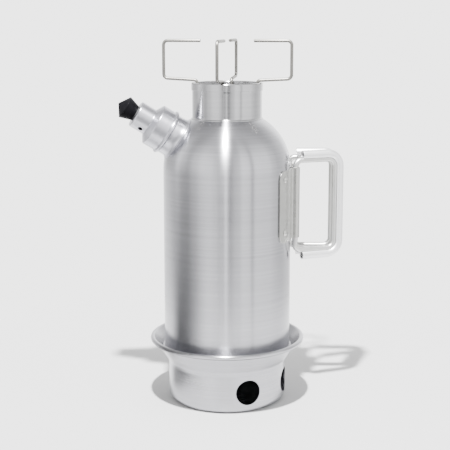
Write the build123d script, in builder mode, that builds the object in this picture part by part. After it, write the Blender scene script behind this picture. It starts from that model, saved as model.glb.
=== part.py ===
from build123d import *
import os
from math import asin, cos, degrees, radians, sin, tan

# Chimney kettle on its fire base, for one litre of water: a spun aluminium jacket
# round a conical flue, a slanted spout with a stepped cap and stopper, a two-wing
# folding handle and a cross of bent wire that carries a pot over the flue.
# Millimetres. The origin is on the kettle's axis at the underside of the fire base,
# +Z is up, the handle points along +X and the spout along -X.

os.makedirs("parts", exist_ok=True)

# Kettle jacket
body_radius = 60.0
body_wall = 1.2
body_bottom = 49.6
dome_start = 222.0
dome_radius = 55.0
dome_centre = body_radius - dome_radius
seam_radius = 60.8
seam_height = 50.4
seam_bead = 1.5
seam_bottom = 48.2
seam_inner = 56.5
seam_lip_top = 52.6
channel_floor = 49.5
channel_inner = 57.55

# Neck and flue
neck_radius = 32.6
neck_inner = 31.3
neck_bottom = 262.0
neck_top = 302.7
hem_radius = 33.4
hem_bottom = 295.6
hem_sheet = 0.7
hem_root = 4.0
collar_gap = 0.3
flue_radius = 31.2
flue_wall = 1.0
flue_flange = 58.6
flue_floor = 49.6
flange_top = 55.1
cone_radius = 49.6
cone_height = 72.6
flue_bends = (4, 20, 40)

# Fire base
base_radius = 56.1
base_wall = 1.2
base_corner = 6.0
flare_start = 38.0
flare_radius = 69.6
flare_top = 58.0
rim_radius = 71.4
rim_height = 59.0
rim_bead = 2.25
air_hole_diameter = 23.6
air_hole_height = 19.7
air_hole_angles = (-79.4, -23.6, 100.6, 156.4)

# Spout: heights along its axis are counted outwards from the dome's surface
spout_tilt = 31.9
spout_x = -50.4
spout_z = 253.0
spout_depth = 16.0
tube_radius = 18.2
tube_wall = 1.3
tube_end = 19.0
collar_radius = 19.3
collar_foot = 21.6
collar_end = 6.3
foot_height = 1.5
foot_curve = 3.75
cap_radius = 20.0
cap_wall = 1.5
cap_bottom = 6.6
cap_bead = 1.7
cap_shoulder = 22.1
shoulder_inner = 21.2
nozzle_inner = 25.9
gasket_height = 19.3
gasket_bore = 15.9
gasket_thickness = 1.6
nozzle_radius = 12.65
nozzle_start = 26.5
nozzle_end = 41.4
nozzle_bore = 6.5
cap_lip = 1.2
vent_diameter = 4.6
vent_height = 31.6
vent_bearing = 40.0

# Stopper
stopper_base = 7.4
stopper_waist = 10.8
stopper_waist_height = 52.8
stopper_tip = 60.0
stopper_stem = 6.4
stem_length = 9.0
washer_thickness = 0.8

# Folding handle
wire_diameter = 5.5
leg_clearance = 0.08
hinge_radius = 64.5
hinge_bearing = 12.0
leg_gap = 8.0
handle_top = 239.0
handle_bottom = 134.5
handle_depth = 11.9
wing_reach = 50.0
wing_gap = 0.4
sleeve_diameter = 8.4
sleeve_sheet = 1.0
sleeve_start = 7.0
hinge_bend = 6.0
grip_bend = 7.4

# Handle bracket
bracket_sheet = 1.2
bracket_bearing = 48.0
bracket_bottom = 156.5
bracket_top = 223.5
bracket_corner = 7.0
rivet_bearing = 39.0
rivet_heights = (166.0, 215.4)
rivet_shank = 1.5
rivet_head = 3.3
rivet_dome = 1.5
rivet_tail = 2.6
seal_radius = 3.4
seal_thickness = 0.8

# Pot support
support_wire = 3.0
support_turn = -18.5
support_radius = 60.0
support_top = 341.0
support_arm = 306.2
support_rim = 304.6
support_leg = 28.3
support_cross = 274.0
support_bend = 4.0
rim_bend = 3.0
side_tip = 25.0
fore_tip = 19.0

# Clearance between pieces that are pressed, seamed or brazed together
seat_gap = 0.05


# Upright plane that faces outwards from the kettle's axis, at an angle from +X
def facing(angle, height):
    turn = radians(angle)
    return Plane((0, 0, height), z_dir=(cos(turn), sin(turn), 0))


# Upright plane that holds the direction at an angle from +X: local y is up
def upright(angle, origin=(0, 0, 0)):
    turn = radians(angle)
    return Plane(origin, x_dir=(cos(turn), sin(turn), 0), z_dir=(sin(turn), -cos(turn), 0))


# Square section plane at the start of a wire's centre line
def wire_start(line, x_dir=None):
    return Plane(line @ 0, x_dir=x_dir, z_dir=line % 0)


# Solid inside the jacket's outer surface, pulled in by some distance
def dome_solid(inset):
    with BuildPart() as solid:
        with BuildSketch(Plane.XZ):
            with BuildLine():
                arc = CenterArc((dome_centre, dome_start), dome_radius - inset, 0, 88)
                Polyline(arc @ 1, (0, (arc @ 1).Y), (0, 0), (body_radius - inset, 0), arc @ 0)
            make_face()
        revolve(axis=Axis.Z)
    return solid.part


# The slanted spout: a plane across it, a plane along it whose local y is its axis
spout_axis = Vector(-cos(radians(spout_tilt)), 0, sin(radians(spout_tilt)))
spout_root = Vector(spout_x, 0, spout_z)
spout_across = Plane(spout_root, x_dir=(0, -1, 0), z_dir=spout_axis)
spout_section = Plane(spout_root, x_dir=(0, -1, 0), z_dir=(-spout_axis.Z, 0, spout_axis.X))
spout_line = Axis(spout_root, spout_axis)


# Fire base: one spun pan with a flared, rolled rim and four air holes
with BuildPart() as fire_base:
    with BuildSketch(Plane.XZ):
        with BuildLine():
            outside = FilletPolyline(
                (0, 0),
                (base_radius, 0),
                (base_radius, flare_start),
                (flare_radius, flare_top),
                radius=[base_corner, 2 * base_corner],
            )
            offset(outside, amount=base_wall, side=Side.LEFT)
        make_face()
    revolve(axis=Axis.Z)
    with BuildSketch(Plane.XZ):
        with Locations((rim_radius, rim_height)):
            Circle(rim_bead)
    revolve(axis=Axis.Z)
    for angle in air_hole_angles:
        with BuildSketch(facing(angle, air_hole_height)):
            Circle(air_hole_diameter / 2)
        extrude(amount=base_radius + base_wall, mode=Mode.SUBTRACT)
fire_base.part.label = "fire_base"
export_step(fire_base.part, "parts/fire_base.step")

# Jacket: straight wall, domed shoulder, hole for the neck and hole for the spout
with BuildPart() as outer_shell:
    with BuildSketch(Plane.XZ):
        with BuildLine():
            outer_arc = CenterArc((dome_centre, dome_start), dome_radius, 0, 80)
            inner_arc = CenterArc((dome_centre, dome_start), dome_radius - body_wall, 0, 80)
            Line(outer_arc @ 1, inner_arc @ 1)
            Polyline(
                outer_arc @ 0,
                (body_radius, body_bottom),
                (body_radius - body_wall, body_bottom),
                inner_arc @ 0,
            )
        make_face()
    revolve(axis=Axis.Z)
    with BuildSketch(Plane.XY.offset(dome_start)):
        Circle(neck_radius + seat_gap)
    extrude(amount=dome_radius, mode=Mode.SUBTRACT)
    with BuildSketch(spout_across):
        Circle(tube_radius + seat_gap)
    extrude(amount=spout_depth, both=True, mode=Mode.SUBTRACT)
    for side in (-1, 1):
        for height in rivet_heights:
            with BuildSketch(facing(side * rivet_bearing, height)):
                Circle(rivet_shank + seat_gap)
            extrude(amount=body_radius + 1, mode=Mode.SUBTRACT)
outer_shell.part.label = "outer_shell"
export_step(outer_shell.part, "parts/outer_shell.step")

# Flue: flange at the foot, cone, straight chimney, top edge hemmed over the neck collar
with BuildPart() as flue:
    with BuildSketch(Plane.XZ):
        with BuildLine():
            water_side = FilletPolyline(
                (flue_flange, flue_floor),
                (flue_flange, flange_top),
                (cone_radius, cone_height),
                (flue_radius, neck_bottom),
                (flue_radius, neck_top - hem_root / 2),
                radius=flue_bends,
            )
            offset(water_side, amount=flue_wall, side=Side.LEFT)
        make_face()
    revolve(axis=Axis.Z)
    with BuildSketch(Plane.XZ):
        with BuildLine():
            Polyline(
                (flue_radius - flue_wall, neck_top - hem_root),
                (flue_radius - flue_wall, neck_top),
                (hem_radius, neck_top),
                (hem_radius, hem_bottom),
                (hem_radius - hem_sheet, hem_bottom),
                (hem_radius - hem_sheet, neck_top - hem_sheet),
                (flue_radius, neck_top - hem_sheet),
                (flue_radius, neck_top - hem_root),
                close=True,
            )
        hem = make_face()
        top_corners = hem.vertices().filter_by_position(Axis.Y, neck_top - 0.01, neck_top + 0.01)
        fillet(top_corners, radius=1.3)
    revolve(axis=Axis.Z)
flue.part.label = "flue"
export_step(flue.part, "parts/flue.step")

# Neck collar: polished tube through the dome, closed above by the flue's hem
with BuildPart() as neck_collar:
    with BuildSketch(Plane.XY.offset(neck_bottom)):
        Circle(neck_radius)
        Circle(neck_inner, mode=Mode.SUBTRACT)
    extrude(amount=neck_top - hem_sheet - collar_gap - neck_bottom)
neck_collar.part.label = "neck_collar"
export_step(neck_collar.part, "parts/neck_collar.step")

# Foot ring: rolled seam that clinches the jacket's lower edge to the flue's flange
with BuildPart() as seam_ring:
    with BuildSketch(Plane.XZ):
        with Locations((seam_radius, seam_height)):
            Circle(seam_bead)
        with BuildLine():
            Polyline(
                (seam_inner, seam_bottom),
                (seam_radius, seam_bottom),
                (seam_radius, seam_height + 1),
                (body_radius + seat_gap, seam_height + 1),
                (body_radius + seat_gap, channel_floor),
                (channel_inner, channel_floor),
                (channel_inner, seam_lip_top),
                (seam_inner, seam_lip_top),
                close=True,
            )
        make_face()
        with BuildLine():
            Polyline(
                (channel_inner, channel_floor),
                (body_radius + seat_gap, channel_floor),
                (body_radius + seat_gap, seam_lip_top + 1),
                (channel_inner, seam_lip_top + 1),
                close=True,
            )
        make_face(mode=Mode.SUBTRACT)
    revolve(axis=Axis.Z)
seam_ring.part.label = "seam_ring"
export_step(seam_ring.part, "parts/seam_ring.step")

# Spout tube, ending just inside the jacket
with BuildPart() as spout_tube:
    with BuildSketch(spout_across.offset(-spout_depth)):
        Circle(tube_radius)
        Circle(tube_radius - tube_wall, mode=Mode.SUBTRACT)
    extrude(amount=spout_depth + tube_end)
    add(dome_solid(body_wall + 2), mode=Mode.SUBTRACT)
spout_tube.part.label = "spout_tube"
export_step(spout_tube.part, "parts/spout_tube.step")

# Spout collar: ring round the tube with a foot that flares out onto the dome
with BuildPart() as spout_collar:
    with BuildSketch(spout_section):
        with BuildLine():
            Polyline(
                (tube_radius + seat_gap, -spout_depth),
                (tube_radius + seat_gap, collar_end),
                (collar_radius, collar_end),
                (collar_radius, foot_height),
            )
            foot = RadiusArc((collar_radius, foot_height), (collar_foot, -foot_height), -foot_curve)
            Polyline(foot @ 1, (collar_foot, -spout_depth), (tube_radius + seat_gap, -spout_depth))
        make_face()
    revolve(axis=spout_line)
    add(dome_solid(-seat_gap), mode=Mode.SUBTRACT)
spout_collar.part.label = "spout_collar"
export_step(spout_collar.part, "parts/spout_collar.step")

# Spout cap: skirt with a rolled edge, conical shoulder and nozzle with a steam vent
vent_turn = radians(vent_bearing)
vent_direction = spout_across.x_dir * sin(vent_turn) - spout_across.y_dir * cos(vent_turn)
with BuildPart() as spout_cap:
    with BuildSketch(spout_section):
        with BuildLine():
            Polyline(
                (cap_radius - cap_wall, cap_bottom),
                (cap_radius - cap_wall, shoulder_inner),
                (nozzle_radius - cap_wall, nozzle_inner),
                (nozzle_radius - cap_wall, nozzle_end - cap_wall),
                (nozzle_bore, nozzle_end - cap_wall),
                (nozzle_bore, nozzle_end),
                (nozzle_radius, nozzle_end),
                (nozzle_radius, nozzle_start),
                (cap_radius, cap_shoulder),
                (cap_radius, cap_bottom),
                close=True,
            )
        profile = make_face()
        lip = profile.vertices().sort_by_distance((nozzle_radius, nozzle_end))[0]
        fillet(lip, radius=cap_lip)
        with Locations((cap_radius, cap_bottom + cap_bead)):
            Circle(cap_bead)
        with Locations(((cap_radius - cap_wall) / 2, cap_bottom + cap_bead)):
            Rectangle(cap_radius - cap_wall, 3 * cap_bead, mode=Mode.SUBTRACT)
    revolve(axis=spout_line)
    with BuildSketch(Plane(spout_root + spout_axis * vent_height, z_dir=vent_direction)):
        Circle(vent_diameter / 2)
    extrude(amount=nozzle_radius + 1, mode=Mode.SUBTRACT)
spout_cap.part.label = "spout_cap"
export_step(spout_cap.part, "parts/spout_cap.step")

# Seal ring inside the cap, pressed onto the end of the tube
with BuildPart() as cap_gasket:
    with BuildSketch(spout_across.offset(gasket_height)):
        Circle(cap_radius - cap_wall - seat_gap)
        Circle(gasket_bore, mode=Mode.SUBTRACT)
    extrude(amount=gasket_thickness)
cap_gasket.part.label = "cap_gasket"
export_step(cap_gasket.part, "parts/cap_gasket.step")

# Stopper: blunt double-cone knob with a tapered stem
stopper_seat = nozzle_end + washer_thickness + 2 * seat_gap
with BuildPart() as stopper:
    with BuildSketch(spout_section):
        with BuildLine():
            Polyline(
                (0, stopper_tip),
                (stopper_waist, stopper_waist_height),
                (stopper_base, stopper_seat),
                (stopper_stem, stopper_seat),
                (stopper_stem, nozzle_end - stem_length / 2),
                (stopper_stem - 1, nozzle_end - stem_length),
                (0, nozzle_end - stem_length),
                close=True,
            )
        profile = make_face()
        waist = profile.vertices().sort_by_distance((stopper_waist, stopper_waist_height))[0]
        fillet(waist, radius=1.2)
    revolve(axis=spout_line)
stopper.part.label = "stopper"
export_step(stopper.part, "parts/stopper.step")

# Rubber washer under the knob
with BuildPart() as stopper_washer:
    with BuildSketch(spout_across.offset(nozzle_end + seat_gap)):
        Circle(stopper_base - 0.1)
        Circle(stopper_stem + seat_gap, mode=Mode.SUBTRACT)
    extrude(amount=washer_thickness)
stopper_washer.part.label = "stopper_washer"
export_step(stopper_washer.part, "parts/stopper_washer.step")

# Handle bracket: sheet wrapped round the jacket, with two pressed channels for the legs
leg_bore = wire_diameter / 2 + leg_clearance
channel_radius = leg_bore + bracket_sheet
bracket_radius = body_radius + 0.1
hinge_x = hinge_radius * cos(radians(hinge_bearing))
hinge_y = hinge_radius * sin(radians(hinge_bearing))
with BuildPart() as handle_bracket:
    with BuildSketch(Plane.XY.offset(bracket_bottom)):
        Circle(bracket_radius + bracket_sheet)
        for side in (-1, 1):
            with Locations((hinge_x, side * hinge_y)):
                Circle(channel_radius)
            with Locations(Rot(0, 0, side * hinge_bearing) * Pos(hinge_radius / 2, 0)):
                Rectangle(hinge_radius, 2 * channel_radius)
        roots = vertices().filter_by(lambda v: v.X > 0 and (v.X**2 + v.Y**2) ** 0.5 < hinge_radius)
        fillet(roots, radius=bracket_sheet)
        Circle(bracket_radius, mode=Mode.SUBTRACT)
        for side in (-1, 1):
            with Locations((hinge_x, side * hinge_y)):
                Circle(leg_bore, mode=Mode.SUBTRACT)
            with Locations(Rot(0, 0, side * hinge_bearing) * Pos(hinge_radius / 2, 0)):
                Rectangle(hinge_radius, 2 * leg_bore, mode=Mode.SUBTRACT)
        with BuildLine():
            reach = 2 * body_radius
            spread = reach * tan(radians(bracket_bearing))
            Polyline((0, 0), (reach, -spread), (reach, spread), close=True)
        make_face(mode=Mode.INTERSECT)
    extrude(amount=bracket_top - bracket_bottom)
    corners = edges().filter_by(GeomType.LINE).filter_by(Axis.Z, reverse=True)
    fillet(corners.filter_by(lambda edge: abs((edge @ 0).Y) > body_radius / 2), radius=bracket_corner)
    for side in (-1, 1):
        for height in rivet_heights:
            with BuildSketch(facing(side * rivet_bearing, height)):
                Circle(rivet_shank + seat_gap)
            extrude(amount=body_radius + 5, mode=Mode.SUBTRACT)
handle_bracket.part.label = "handle_bracket"
export_step(handle_bracket.part, "parts/handle_bracket.step")

# Four rivets through bracket and jacket, and the seal washer on each one's inner end
head_base = bracket_radius + bracket_sheet + seat_gap
head_curve = (rivet_head**2 + rivet_dome**2) / (2 * rivet_dome)
seal_inner = body_radius - body_wall - seal_thickness - 3 * seat_gap
tail_top = seal_inner - seat_gap
with BuildPart() as bracket_rivets:
    for side in (-1, 1):
        for height in rivet_heights:
            radial = facing(side * rivet_bearing, height)
            sideways = Vector(0, 0, 1).cross(radial.z_dir)
            with BuildSketch(Plane(radial.origin, x_dir=(0, 0, 1), z_dir=sideways)):
                with BuildLine():
                    Polyline(
                        (0, head_base + rivet_dome),
                        (0, tail_top - 1),
                        (rivet_tail, tail_top - 1),
                        (rivet_tail, tail_top),
                        (rivet_shank, tail_top),
                        (rivet_shank, head_base),
                        (rivet_head, head_base),
                    )
                    dome_middle = (0, head_base + rivet_dome - head_curve)
                    dome_end = degrees(asin((head_curve - rivet_dome) / head_curve))
                    CenterArc(dome_middle, head_curve, dome_end, 90 - dome_end)
                make_face()
            revolve(axis=Axis(radial.origin, radial.z_dir))
bracket_rivets.part.label = "bracket_rivets"
export_step(bracket_rivets.part, "parts/bracket_rivets.step")

with BuildPart() as rivet_seals:
    for side in (-1, 1):
        for height in rivet_heights:
            with BuildSketch(facing(side * rivet_bearing, height).offset(seal_inner)):
                Circle(seal_radius)
                Circle(rivet_shank + seat_gap, mode=Mode.SUBTRACT)
            extrude(amount=seal_thickness)
rivet_seals.part.label = "rivet_seals"
export_step(rivet_seals.part, "parts/rivet_seals.step")

# Handle wings: a bent wire hinged at its two legs, and a slotted sleeve that pads it
wire_top = handle_top - handle_depth + wire_diameter / 2
wire_bottom = handle_bottom + handle_depth - wire_diameter / 2
wire_reach = wing_reach - handle_depth + wire_diameter / 2
sleeve_shift = handle_depth - wire_diameter / 2 - sleeve_diameter / 2
sleeve_top = wire_top + sleeve_shift
sleeve_bottom = wire_bottom - sleeve_shift
sleeve_reach = wire_reach + sleeve_shift
leg_middle = (bracket_bottom + bracket_top) / 2
wing_turn = degrees(asin((hinge_y - (sleeve_diameter + wing_gap) / 2) / sleeve_reach))
for name, side in (("front", -1), ("rear", 1)):
    wing_plane = upright(-side * wing_turn, (hinge_x, side * hinge_y, 0))
    with BuildPart() as wing_wire:
        with BuildLine(wing_plane) as route:
            FilletPolyline(
                (0, leg_middle + leg_gap / 2),
                (0, wire_top),
                (wire_reach, wire_top),
                (wire_reach, wire_bottom),
                (0, wire_bottom),
                (0, leg_middle - leg_gap / 2),
                radius=[hinge_bend, grip_bend, grip_bend, hinge_bend],
            )
        with BuildSketch(wire_start(route.line)):
            Circle(wire_diameter / 2)
        sweep()
    wing_wire.part.label = f"wing_{name}_wire"
    export_step(wing_wire.part, f"parts/wing_{name}_wire.step")

    with BuildPart() as wing_sleeve:
        with BuildLine(wing_plane) as route:
            FilletPolyline(
                (sleeve_start, sleeve_top),
                (sleeve_reach, sleeve_top),
                (sleeve_reach, sleeve_bottom),
                (sleeve_start, sleeve_bottom),
                radius=grip_bend + sleeve_shift,
            )
        with BuildSketch(wire_start(route.line, x_dir=(0, 0, -1))):
            Circle(sleeve_diameter / 2)
            Circle(sleeve_diameter / 2 - sleeve_sheet, mode=Mode.SUBTRACT)
            with Locations((sleeve_shift, 0)):
                Circle(leg_bore, mode=Mode.SUBTRACT)
        sweep()
    wing_sleeve.part.label = f"wing_{name}_sleeve"
    export_step(wing_sleeve.part, f"parts/wing_{name}_sleeve.step")

# Pot support: two bent wires crossed at right angles, the second passing under the first
crossing_under = support_cross - support_wire - 2 * seat_gap
support_wires = (
    ("support_wire_side", support_turn, side_tip, support_cross),
    ("support_wire_fore", support_turn + 90, fore_tip, crossing_under),
)
outer_bends = (support_bend, support_bend)
for name, angle, tip, cross in support_wires:
    with BuildPart() as support:
        with BuildLine(upright(angle)) as route:
            FilletPolyline(
                (tip, support_top),
                (support_radius, support_top),
                (support_radius, support_arm),
                (support_leg, support_rim),
                (support_leg, cross),
                (-support_leg, cross),
                (-support_leg, support_rim),
                (-support_radius, support_arm),
                (-support_radius, support_top),
                (-tip, support_top),
                radius=[*outer_bends, rim_bend, support_bend, support_bend, rim_bend, *outer_bends],
            )
        with BuildSketch(wire_start(route.line)):
            Circle(support_wire / 2)
        sweep()
    support.part.label = name
    export_step(support.part, f"parts/{name}.step")
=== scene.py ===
from math import atan2, cos, degrees, pi, radians, sin, sqrt, tan

import bmesh
import bpy
from mathutils import Matrix, Vector


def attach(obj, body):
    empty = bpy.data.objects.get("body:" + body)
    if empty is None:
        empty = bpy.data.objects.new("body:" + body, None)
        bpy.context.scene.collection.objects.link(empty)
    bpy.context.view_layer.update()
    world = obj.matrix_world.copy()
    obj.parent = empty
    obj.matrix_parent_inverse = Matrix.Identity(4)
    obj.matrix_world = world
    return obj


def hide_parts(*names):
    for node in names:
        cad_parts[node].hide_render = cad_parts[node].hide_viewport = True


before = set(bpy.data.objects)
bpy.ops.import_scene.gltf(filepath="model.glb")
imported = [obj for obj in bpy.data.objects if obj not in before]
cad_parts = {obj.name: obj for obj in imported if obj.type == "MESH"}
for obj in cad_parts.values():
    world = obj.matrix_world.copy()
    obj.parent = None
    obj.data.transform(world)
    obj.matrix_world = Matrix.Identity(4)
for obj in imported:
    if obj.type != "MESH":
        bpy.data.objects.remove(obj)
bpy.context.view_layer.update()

MM = 0.001

# How fine the meshes are, and the gap in millimetres that stands in for a closed seam
TURN_STEPS = 192
DRILL_STEPS = 64
TIP_STEPS = 4
SHARP_ANGLE = 32
BENT_SHARP_ANGLE = 40
WELD_DISTANCE = 1e-7
SEAM_GAP = 0.05

# Kettle jacket, neck and flue
BODY_RADIUS = 60.0
BODY_WALL = 1.2
BODY_BOTTOM = 49.6
DOME_START = 222.0
DOME_RADIUS = 55.0
DOME_CENTRE = BODY_RADIUS - DOME_RADIUS
DOME_END_ANGLE = 59.6
DOME_STEPS = 56
WALL_LOW_RING = BODY_BOTTOM + 40
WALL_HIGH_RING = DOME_START - 60
SEAM_RADIUS = 60.8
SEAM_HEIGHT = 50.4
SEAM_BEAD = 1.5
SEAM_BEAD_ANGLES = (-100, 118)
SEAM_LIP = 1.05
SEAM_LIP_RISE = 3
SEAM_UNDERSIDE = 1.4
NECK_RADIUS = 32.6
NECK_INNER = 31.3
NECK_BOTTOM = 262.0
NECK_TOP = 302.7
HEM_RADIUS = 33.4
HEM_BOTTOM = 295.6
HEM_SHEET = 0.7
NECK_FOLD = NECK_TOP - HEM_SHEET - 0.8
BRAZE_RADIUS = 1.45
BRAZE_ANGLES = (250, 180)
FLUE_RADIUS = 31.2
FLUE_WALL = 1.0
FLUE_FLANGE = 58.6
FLUE_FLOOR = 49.6
FLANGE_TOP = FLUE_FLOOR + 5.5
CONE_RADIUS = FLUE_FLANGE - 9
CONE_HEIGHT = FLUE_FLOOR + 23
FLANGE_BEND = 4
CONE_BEND = 20
NECK_BEND = 40
HEM_BEND = 1.3

# Fire base
BASE_RADIUS = 56.1
BASE_WALL = 1.2
BASE_CORNER = 6.0
BASE_CORNER_STEPS = 14
FLARE_START = 38.0
FLARE_RADIUS = 69.6
FLARE_TOP = 58.0
RIM_RADIUS = 71.4
RIM_HEIGHT = 59.0
RIM_BEAD = 2.22
RIM_START_ANGLE = -165
RIM_END_ANGLE = 140
# Painted shadow under the rolled rim: its height and half width, in millimetres
RIM_SHADOW_HEIGHT = 57.2
RIM_SHADOW_HALF_WIDTH = 1.1
AIR_HOLE_DIAMETER = 23.6
AIR_HOLE_HEIGHT = 19.7
AIR_HOLE_ANGLES = (-79.4, -23.6, 100.6, 156.4)
# Painted shade inside the pan: dark up to this height in millimetres, fading out over the next span
INSIDE_SHADE_HEIGHT = 30.0
INSIDE_SHADE_FADE = 12.0

# Spout: heights along its axis are counted outwards from the dome's surface
SPOUT_TILT = 31.9
SPOUT_ROOT = Vector((-50.4, 0, 253.0))
SPOUT_SEARCH = (-18.0, 12.0)
TUBE_RADIUS = 18.2
TUBE_WALL = 1.3
TUBE_END = 19.0
COLLAR_RADIUS = 19.3
COLLAR_FOOT = 21.6
COLLAR_END = 6.3
COLLAR_FLARE = 3.4
COLLAR_FLARE_LOWEST = 1.5
CAP_RADIUS = 20.0
CAP_WALL = 1.5
CAP_BOTTOM = 6.6
CAP_BEAD = 1.7
CAP_BEAD_ANGLES = (-100, 78)
CAP_SHOULDER = 22.1
NOZZLE_RADIUS = 12.65
NOZZLE_START = 26.5
NOZZLE_END = 41.4
NOZZLE_BORE = 6.5
VENT_DIAMETER = 4.6
VENT_HEIGHT = 31.6
VENT_BEARING = 40.0
STOPPER_BASE = 7.4
STOPPER_WAIST = 10.8
STOPPER_WAIST_HEIGHT = 52.8
STOPPER_TIP = 60.0
STOPPER_TIP_RADIUS = 0.9
STOPPER_STEM = 6.4
STEM_LENGTH = 9.0
STOPPER_SEAT = NOZZLE_END + 0.9

# Folding handle and its bracket
WIRE_RADIUS = 2.75
LEG_BORE = 2.83
HINGE_RADIUS = 64.5
HINGE_BEARING = 12.0
HANDLE_TOP = 239.0
HANDLE_BOTTOM = 134.5
HANDLE_DEPTH = 11.9
WING_REACH = 50.0
WING_GAP = 0.4
SLEEVE_RADIUS = 4.2
SLEEVE_SHEET = 1.0
SLEEVE_START = 7.0
SLEEVE_LIP_ANGLE = 2.7
SLEEVE_SHARP_ANGLE = 45
HINGE_BEND = 6.0
GRIP_BEND = 7.4
LEG_GAP = 8.0
BRACKET_RADIUS = 60.1
BRACKET_SHEET = 1.2
BRACKET_BEARING = 48.0
BRACKET_BOTTOM = 156.5
BRACKET_TOP = 223.5
BRACKET_CORNER = 7.0
CHANNEL_ROOT = 3.6
BRACKET_ROWS = 14
BRACKET_SIDE_STEPS = 22
BRACKET_MIDDLE_STEPS = 6
BRACKET_SHARP_ANGLE = 50
RIVET_BEARING = 39.0
RIVET_HEIGHTS = (166.0, 215.4)
RIVET_HEAD = 3.3
RIVET_DOME = 1.5
RIVET_SHANK = 1.5
RIVET_TAIL = 2.6
RIVET_TAIL_SHEET = 1
RIVET_SEAL = 0.8

# Pot support
SUPPORT_RADIUS = 1.5
SUPPORT_TURN = -18.5
SUPPORT_REACH = 60.0
SUPPORT_TOP = 340.99
SUPPORT_ARM = 306.2
SUPPORT_RIM = 304.6
SUPPORT_LEG = 28.3
SUPPORT_CROSS = 274.0
SUPPORT_BEND = 4.0
SUPPORT_GAP = 0.1
SUPPORT_LOW_CROSS = SUPPORT_CROSS - 2 * SUPPORT_RADIUS - SUPPORT_GAP
RIM_BEND = 3.0
SIDE_TIP = 25.0
FORE_TIP = 19.0


# Outlines: lists of (x, y) in millimetres

def arc(centre, radius, start, end, steps=16):
    """Points on an arc between two angles in degrees."""
    turns = [radians(start + (end - start) * k / steps) for k in range(steps + 1)]
    return [(centre[0] + radius * cos(t), centre[1] + radius * sin(t)) for t in turns]


def rounded(corners, closed=False, steps=8):
    """Points of an outline whose corners (x, y, radius) are rounded where the radius isn't 0."""
    count = len(corners)
    points = []
    for k, (x, y, radius) in enumerate(corners):
        here = Vector((x, y))
        if radius == 0 or (not closed and k in (0, count - 1)):
            points.append((x, y))
            continue
        before = (Vector(corners[k - 1][:2]) - here).normalized()
        after = (Vector(corners[(k + 1) % count][:2]) - here).normalized()
        half = before.angle(after) / 2
        reach = radius / tan(half)
        centre = here + (before + after).normalized() * (radius / sin(half))
        first = here + before * reach - centre
        last = here + after * reach - centre
        sweep = first.angle_signed(last)
        for s in range(steps + 1):
            turned = Matrix.Rotation(-sweep * s / steps, 2) @ first
            points.append(tuple(centre + turned))
    return points


# Meshes

def new_object(name, data):
    obj = bpy.data.objects.new(name, data)
    bpy.context.scene.collection.objects.link(obj)
    return obj


def finish_mesh(name, bm, sharp_angle=SHARP_ANGLE):
    """An object from a bmesh: smooth faces, with edges kept sharp where the surface really turns."""
    bmesh.ops.recalc_face_normals(bm, faces=bm.faces)
    for face in bm.faces:
        face.smooth = True
    for edge in bm.edges:
        if len(edge.link_faces) == 2 and edge.calc_face_angle(0) > radians(sharp_angle):
            edge.smooth = False
    mesh = bpy.data.meshes.new(name)
    bm.to_mesh(mesh)
    bm.free()
    return new_object(name, mesh)


def weigh_normals(obj):
    """Large faces keep their own direction, so rounded edges shade cleanly."""
    modifier = obj.modifiers.new("even shading", "WEIGHTED_NORMAL")
    modifier.keep_sharp = True
    modifier.weight = 80


def wear_edges(obj, width, sharp_angle):
    """A small bevel, in millimetres, along the edges that turn by more than an angle."""
    edges = obj.modifiers.new("worn edges", "BEVEL")
    edges.width = width * MM
    edges.segments = 2
    edges.limit_method = "ANGLE"
    edges.angle_limit = radians(sharp_angle)
    weigh_normals(obj)


def lengths_round(outline):
    """Lengths along a closed outline up to each of its points and all round it, in metres."""
    runs = [0.0]
    for here, there in zip(outline, outline[1:] + outline[:1]):
        runs.append(runs[-1] + (Vector(there) - Vector(here)).length * MM)
    return runs


def join_rings(bm, rings, along, around):
    """Faces between each ring of vertices and the next, with measures along and round them as UVs."""
    uv = bm.loops.layers.uv.new("surface")
    count = len(rings[0])
    for k in range(len(rings) - 1):
        for j in range(count):
            i = (j + 1) % count
            face = bm.faces.new([rings[k][j], rings[k][i], rings[k + 1][i], rings[k + 1][j]])
            spots = ((k, j), (k, j + 1), (k + 1, j + 1), (k + 1, j))
            for loop, (step, run) in zip(face.loops, spots):
                loop[uv].uv = (along[step], around[run])


def turned(name, columns, place=Matrix.Identity(4)):
    """A closed skin through columns of (radius, height), one for each step round a place's axis."""
    bm = bmesh.new()
    steps = len(columns)
    rings = []
    for k, column in enumerate(columns):
        t = 2 * pi * k / steps
        spots = [Vector((radius * cos(t), radius * sin(t), height)) for radius, height in column]
        rings.append([bm.verts.new(place @ spot * MM) for spot in spots])
    shares = [k / steps for k in range(steps + 1)]
    join_rings(bm, rings + rings[:1], shares, lengths_round(columns[0]))
    bmesh.ops.remove_doubles(bm, verts=bm.verts, dist=WELD_DISTANCE)
    obj = finish_mesh(name, bm)
    weigh_normals(obj)
    return obj


def lathe(name, outline, steps=TURN_STEPS, place=Matrix.Identity(4)):
    """A closed outline of (radius, height) turned round the axis of a place."""
    return turned(name, [outline] * steps, place)


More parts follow.
